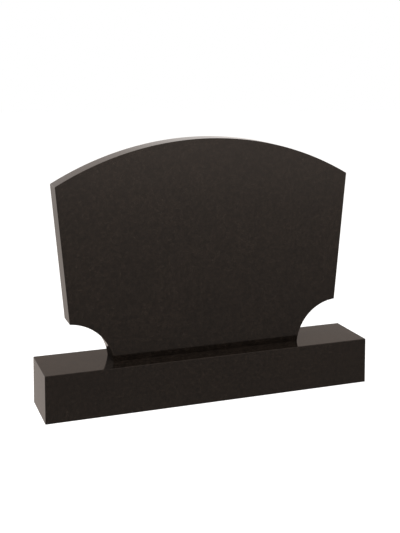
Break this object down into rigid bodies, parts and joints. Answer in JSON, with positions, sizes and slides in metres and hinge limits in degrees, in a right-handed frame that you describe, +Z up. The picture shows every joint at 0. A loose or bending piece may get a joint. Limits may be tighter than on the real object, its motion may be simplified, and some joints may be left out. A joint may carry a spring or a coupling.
{
  "type": "headstone",
  "caption": "Polished stone headstone: a blank upright slab with an arched top and hollowed lower corners, standing on a plain rectangular plinth.",
  "frame": {"origin": "middle of the plinth's underside, on the ground", "axes": "+X along the plinth to the right of someone facing the slab, +Y from the front face towards the back, +Z up"},
  "size_m": [1.1, 0.2, 0.85],
  "materials": {
    "slab_stone": "polished",
    "plinth_stone": "polished"
  },
  "bodies": {
    "root": {"slab": "slab_stone", "plinth": "plinth_stone"}
  },
  "joints": []
}
